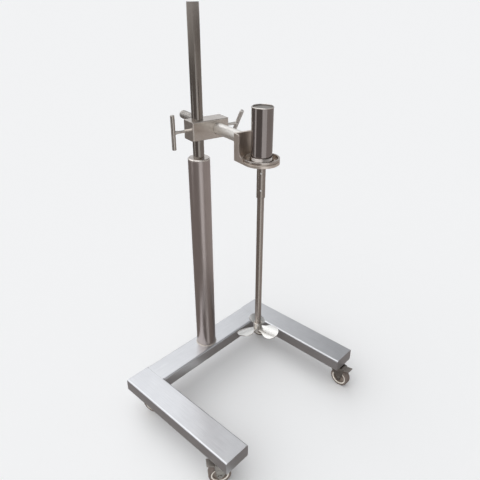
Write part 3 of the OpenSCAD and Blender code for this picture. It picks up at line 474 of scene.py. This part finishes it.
# %% [markdown]
# ## Air motor inside
# Nobody sees the motor's inside until it is taken apart, but each piece there still has the
# surface its work needs: grey cast iron for plates and rotor, a honed grey bore, ground bearing
# rings, brown layered composite vanes and a black lip seal.

# %% Motor internals
cast_iron = surface("grey_cast_iron", "#55534F", "#6D6A65", rough=0.48, grain_mm=1.6, relief=0.4,
                    edge_mm=0.8)
honed_iron = surface("honed_stator_iron", "#6A6864", "#8B8883", rough=0.30, grain_mm=1.0,
                     axis=MOTOR_AT, edge_mm=0.5)
ground_steel = surface("ground_bearing_steel", "#B4B4B2", "#CFCFCC", rough=0.14, grain_mm=0.7,
                       axis=MOTOR_AT, edge_mm=0.5)
vane_layers = surface("layered_vane_composite", "#5A3F28", "#80603E", rough=0.55, grain_mm=0.8,
                      along=(12, 12, 1), metallic=0.0, edge_mm=0.4, relief=0.3)
seal_rubber = surface("black_nitrile_seal", "#16161A", "#26262A", rough=0.55, grain_mm=1.0,
                      metallic=0.0, edge_mm=0.5)
black_screw = surface("black_oxide_screw", "#232326", "#3A3A3E", rough=0.36, grain_mm=1.0,
                      edge_mm=0.4, edge_wear_and_highlight="#77777A")
finish(cast_iron, "lower_end_plate", "upper_end_plate", "rotor")
finish(honed_iron, "stator_liner")
finish(ground_steel, "lower_bearing", "upper_bearing")
finish(vane_layers, "vanes")
finish(seal_rubber, "shaft_seal")
finish(black_screw, "foot_screws", "stator_screws")

# %% [markdown]
# ## Stirrer
# The shaft is centreless-ground, a satin that runs round it. Coupling and hub are turned. The
# propeller blades are buffed until they flash white, because they meet the product and must be
# easy to clean. The set screws are plain bright steel.

# %% Shaft, coupling, hub and blades
shaft_steel = surface("centreless_ground_shaft", "#A59C95", "#B6ADA5", rough=0.24, grain_mm=0.8,
                      axis=MOTOR_AT, relief=0.03)
coupling_steel = surface("turned_coupling_sleeve", "#9F968F", "#B2A9A1", rough=0.26,
                         grain_mm=0.9, axis=MOTOR_AT, edge_mm=1.0)
hub_steel = surface("turned_impeller_hub", "#B4ADA6", "#CAC4BD", rough=0.20, grain_mm=0.9,
                    axis=MOTOR_AT, edge_mm=1.0)
blade_steel = surface("buffed_propeller_blade", "#D9D8D4", "#EDECE9", rough=0.24, grain_mm=3.0,
                      cloud=0.5, relief=0.05, edge_mm=0.8)
bright_screw = surface("bright_set_screw", "#D8D6D2", "#ECEAE6", rough=0.16, grain_mm=0.8,
                       edge_mm=0.4)
finish(shaft_steel, "stirrer_shaft")
finish(coupling_steel, "coupling")
finish(hub_steel, "impeller_hub")
finish(blade_steel, "impeller_blades")
finish(bright_screw, "set_screws")

# %% [markdown]
# ## Plastics and brass in the stand
# The clamp grips both bars through split bushes of natural acetal, and brass pads press on them,
# so neither the mast nor the arm is scratched. A third bush centres the mast in the column. A
# plastic is no metal: its metallic value is zero, and its colour is its own and not the room's.

# %% Bushes and pads
acetal = surface("natural_acetal_bush", "#D9D6CC", "#E8E6DE", rough=0.42, grain_mm=1.2,
                 metallic=0.0, relief=0.1, edge_mm=0.5)
brass = surface("machined_brass_pad", "#B08D4A", "#CDAA63", rough=0.26, grain_mm=0.9,
                edge_mm=0.5)
finish(acetal, "mast_foot_bush", "mast_liner", "arm_liner")
finish(brass, "mast_pad", "arm_pad")

# %% [markdown]
# ## Casters
# Plates, bolts and forks are zinc-plated. Zinc is a grey with soft cloudy patches, so on plates
# and forks the clouds are made small and strong. The wheels are cast nylon, browned by use, with
# a tyre of grey-brown rubber pressed on. The brake pedals are lacquered grey, and their edges are
# trodden bare.

# %% Caster finishes
CORNERS = ("lf", "rf", "lr", "rr")
zinc = surface("zinc_plated_pressed_steel", "#8F8C87", "#B4B1AB", rough=0.36, grain_mm=6.0,
               cloud=0.5, cloud_mm=12, relief=0.06, edge_mm=1.0)
zinc_bolt = surface("zinc_plated_bolt", "#9B9892", "#BFBCB5", rough=0.30, grain_mm=1.5,
                    relief=0.08, edge_mm=0.6)
nylon = surface("cast_nylon_wheel", "#94877D", "#AC9F94", rough=0.38, grain_mm=1.5, metallic=0.0,
                relief=0.12, cloud_mm=25, edge_mm=0.8)
rubber = surface("grey_brown_tyre_rubber", "#6A5F58", "#877A71", rough=0.62, grain_mm=1.2,
                 metallic=0.0, relief=0.3, cloud_mm=18, edge_mm=0.6)
lacquer = surface("trodden_grey_lacquer_pedal", "#8C857E", "#A49D96", rough=0.38, grain_mm=1.4,
                  metallic=0.5, relief=0.15, cloud_mm=15, edge_mm=1.0, edge_wear_and_highlight="#BDB7B1")
finish(zinc, "caster_plates", *("fork_" + c for c in CORNERS))
finish(zinc_bolt, "caster_bolts")
finish(nylon, *("wheel_" + c for c in CORNERS))
finish(rubber, *("tyre_" + c for c in CORNERS))
finish(lacquer, *("pedal_" + c for c in CORNERS))

# %% [markdown]
# ## Small pieces
# The rest is what a workshop adds: weld beads, a knurl, cover rings and two bands. Each is made
# with bmesh operators from a few points, in millimetres, and then moved to its place in the mesh,
# so every object stays at the origin as the CAD solids do. Each rides on the body that carries
# it.

# %% Helpers for small pieces
MM = 0.001
HEAD = Matrix.Rotation(HEAD_YAW, 4, "Z")
SHARP_FROM = math.radians(38)
SAME_PLACE = 1e-6


def at_mm(x, y, z):
    """A shift given in millimetres."""
    return Matrix.Translation((x * MM, y * MM, z * MM))


def lathe(outline, steps):
    """Spins a closed outline of (radius, height) points, in millimetres, around the Z axis."""
    form = bmesh.new()
    dots = [form.verts.new((r * MM, 0, z * MM)) for r, z in outline]
    lines = [form.edges.new(pair) for pair in zip(dots, dots[1:] + dots[:1])]
    bmesh.ops.spin(form, geom=dots + lines, cent=(0, 0, 0), axis=(0, 0, 1), angle=math.tau,
                   steps=steps, use_merge=True)
    bmesh.ops.remove_doubles(form, verts=form.verts, dist=SAME_PLACE)
    bmesh.ops.recalc_face_normals(form, faces=form.faces)
    return form


def repeat(form, places):
    """Puts a copy of a form at each place, all in one bmesh."""
    first = list(form.verts) + list(form.edges) + list(form.faces)
    sets = [bmesh.ops.duplicate(form, geom=first)["geom"] for _ in places[1:]] + [first]
    for place, geom in zip(places[1:] + places[:1], sets):
        dots = [g for g in geom if isinstance(g, bmesh.types.BMVert)]
        bmesh.ops.transform(form, matrix=place, verts=dots)
    return form


def piece(name, form, material, body):
    """Makes a piece that rides on a body, shaded softly across shallow angles."""
    for face in form.faces:
        face.smooth = True
    made = link_mesh(name, form, material)
    made.data.set_sharp_from_angle(angle=SHARP_FROM)
    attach(made, body)
    print(name, len(made.data.polygons), "faces")


# %% [markdown]
# ### Weld beads
# A hand-laid bead is a row of small overlapping puddles. It could be sculpted, or left to a bump,
# but a bead this thick shows in the outline. So a round section is spun into a ring, and the ring
# is swollen and drawn in again once for every puddle, which works round a tube of any size.

# %% Weld beads
BEAD_SIDES = 8
STEPS_PER_PUDDLE = 4
PUDDLE_SWELL = 0.13


def bead(radius, thick, puddles):
    """A ring of weld, radius and thickness in millimetres."""
    section = [(radius + thick * math.cos(a), thick * math.sin(a)) for a in
               (k * math.tau / BEAD_SIDES for k in range(BEAD_SIDES))]
    ring = lathe(section, steps=puddles * STEPS_PER_PUDDLE)
    for v in ring.verts:
        angle = math.atan2(v.co.y, v.co.x)
        core = Vector((math.cos(angle), math.sin(angle), 0)) * radius * MM
        v.co = core + (v.co - core) * (1 + PUDDLE_SWELL * math.cos(angle * puddles))
    return ring


weld_steel = surface("stainless_weld_bead", "#B9B1A8", "#DAD4CC", rough=0.30, grain_mm=2.0,
                     relief=0.2, cloud_mm=8, edge_mm=0.4)
COLUMN_RADIUS, BASE_TOP = 38.1, 150
ARM_X, PLATE_BACK, ARM_RADIUS, HEAD_Z = 62, -206, 19.05, 1040
# How far the middle of each bead lies outside its tube
FOOT_BEAD_OUT, ARM_BEAD_OUT = 0.8, 0.6
FORWARD = Matrix.Rotation(math.radians(90), 4, "X")

foot_bead = bead(radius=COLUMN_RADIUS + FOOT_BEAD_OUT, thick=2.8, puddles=44)
bmesh.ops.transform(foot_bead, matrix=at_mm(0, 0, BASE_TOP), verts=foot_bead.verts)
piece("column_foot_weld", foot_bead, weld_steel, "stand")

arm_bead = bead(radius=ARM_RADIUS + ARM_BEAD_OUT, thick=2.4, puddles=30)
bmesh.ops.transform(arm_bead, matrix=HEAD @ at_mm(ARM_X, PLATE_BACK, HEAD_Z) @ FORWARD,
                    verts=arm_bead.verts)
piece("arm_bracket_weld", arm_bead, weld_steel, "arm")

# %% [markdown]
# ### Knurled grip
# The arm's thinner tail is rolled with a diamond knurl, so a gloved hand can pull the arm through
# the clamp. A bump would leave the tail's outline smooth, and against pale paper that shows. So
# the diamonds are real: two crossing waves round and along a fine sleeve raise them. Real ones
# are about 2 mm wide; these are 7 mm, or they would not show.

# %% Knurled grip
GRIP_FROM, GRIP_TO, GRIP_RADIUS = 130, 219, 14.5
SLEEVE_SKIN, SLEEVE_SINK, SLEEVE_END = 0.05, 0.6, 0.5
SLEEVE_ROWS = 178
DIAMONDS_ROUND = 13
DIAMOND_HEIGHT = 1.1
STEPS_PER_DIAMOND = 10
sleeve_l = GRIP_TO - GRIP_FROM
outline = [(GRIP_RADIUS - SLEEVE_SINK, 0)]
outline += [(GRIP_RADIUS + SLEEVE_SKIN,
             SLEEVE_END + (sleeve_l - 2 * SLEEVE_END) * k / SLEEVE_ROWS)
            for k in range(SLEEVE_ROWS + 1)]
outline += [(GRIP_RADIUS - SLEEVE_SINK, sleeve_l)]
grip = lathe(outline, steps=DIAMONDS_ROUND * STEPS_PER_DIAMOND)
diamond_pitch = math.tau * GRIP_RADIUS / DIAMONDS_ROUND * MM
for v in grip.verts:
    reach = math.hypot(v.co.x, v.co.y)
    if reach > GRIP_RADIUS * MM:
        round_it = math.atan2(v.co.y, v.co.x) * DIAMONDS_ROUND
        along_it = v.co.z / diamond_pitch * math.tau
        # The two waves together run from -2 to 2, so the lift runs from nothing to full height.
        waves = math.cos(round_it + along_it) + math.cos(round_it - along_it)
        lift = DIAMOND_HEIGHT * MM * (0.5 + 0.25 * waves)
        v.co.x *= (reach + lift) / reach
        v.co.y *= (reach + lift) / reach
bmesh.ops.transform(grip, matrix=HEAD @ at_mm(ARM_X, GRIP_TO, HEAD_Z) @ FORWARD, verts=grip.verts)
knurl_steel = surface("rolled_knurl_steel", "#6F6B66", "#C9C5BF", rough=0.26, grain_mm=3.0,
                      relief=0.6, cloud=0.1, edge_mm=0.3)
piece("arm_grip_knurl", grip, knurl_steel, "arm")

# %% [markdown]
# ### Cover rings on the wheels
# Each wheel carries a cream plastic ring on both faces. It hides the joint between nylon and
# tyre, and it is the light circle that one sees from far away. A torus would be quicker and too
# round. This ring is low and flat with rolled edges, so its outline is drawn and spun around the
# axle, and the second ring is the first one turned over.

# %% Wheel rings
# Place of each swivel in millimetres, and the direction in degrees in which its wheel trails
CASTER_SPOTS = {"lf": (-313.5, -436.5, 143), "rf": (313.5, -436.5, -90),
                "lr": (-313.5, 11.5, 290), "rr": (313.5, 11.5, -66)}
TRAIL, AXLE_HEIGHT = 32, 38
RING_AT = 11.4
RING_STEPS = 64
RING_OUTLINE = [(25.0, -0.6), (25.4, 0.9), (26.4, 1.7), (28.6, 1.9), (30.2, 1.5), (30.9, 0.4),
                (30.0, -0.6)]
cream_ring = surface("moulded_cream_cover_ring", "#F1E9DC", "#FCF6EC", rough=0.30, grain_mm=1.2,
                     metallic=0.0, relief=0.08, edge_mm=0.4)
for corner, (x, y, heading) in CASTER_SPOTS.items():
    swivel = at_mm(x, y, 0) @ Matrix.Rotation(math.radians(heading), 4, "Z")
    axle = swivel @ at_mm(TRAIL, 0, AXLE_HEIGHT)
    faces = [axle @ Matrix.Rotation(math.radians(90 * side), 4, "X") for side in (1, -1)]
    rings = repeat(lathe(RING_OUTLINE, steps=RING_STEPS),
                   [f @ at_mm(0, 0, RING_AT) for f in faces])
    piece("wheel_rings_" + corner, rings, cream_ring, "wheel_" + corner)

# %% [markdown]
# ### Band and rim of the motor cover
# The cover stands in a turned, flared band that closes the joint to the foot, and its upper edge
# is rolled over into a thin rim. Both lean back, so they mirror the ceiling, and the motor's two
# ends are bright while the cover between them stays dark. Their steel is a little lighter too,
# which is a painted highlight on the motor's two ends.
# Both are lathe work: a few points give the outline, and one turn makes the piece.

# %% Cover foot band and rim
COVER_RADIUS, FOOT_TOP, COVER_TOP = 32.0, 995.5, 1155.5
COVER_STEPS = 96
# How far out from the cover's radius and how high up, in millimetres
BAND_OUTLINE = [(0.05, 0.1), (4.8, 0.1), (5.0, 1.0), (4.2, 4.0), (2.8, 7.4), (1.4, 10.6),
                (0.5, 13.2), (0.05, 14.0)]
RIM_OUTLINE = [(0.05, -3.0), (0.7, -2.4), (0.95, -1.2), (0.7, -0.1), (-0.1, 0.5), (-1.0, 0.6),
               (-1.4, 0.05), (0.05, 0.05)]
# Band and rim are coloured lighter than the cover as a painted highlight on the motor's two ends.
band_steel = surface("turned_cover_band", "#B9B1AA", "#D3CCC5", rough=0.22, grain_mm=0.9,
                     axis=MOTOR_AT, edge_mm=0.8)
rim_steel = surface("rolled_rim_painted_highlight", "#E0DAD3", "#F0EBE5", rough=0.18, grain_mm=0.9,
                    axis=MOTOR_AT, edge_mm=0.5)
for name, shape, base, material in (("cover_foot_band", BAND_OUTLINE, FOOT_TOP, band_steel),
                                    ("cover_top_rim", RIM_OUTLINE, COVER_TOP, rim_steel)):
    turned = lathe([(COVER_RADIUS + out, up) for out, up in shape], steps=COVER_STEPS)
    bmesh.ops.transform(turned, matrix=Matrix.Translation((*MOTOR_AT, base * MM)),
                        verts=turned.verts)
    piece(name, turned, material, "arm")
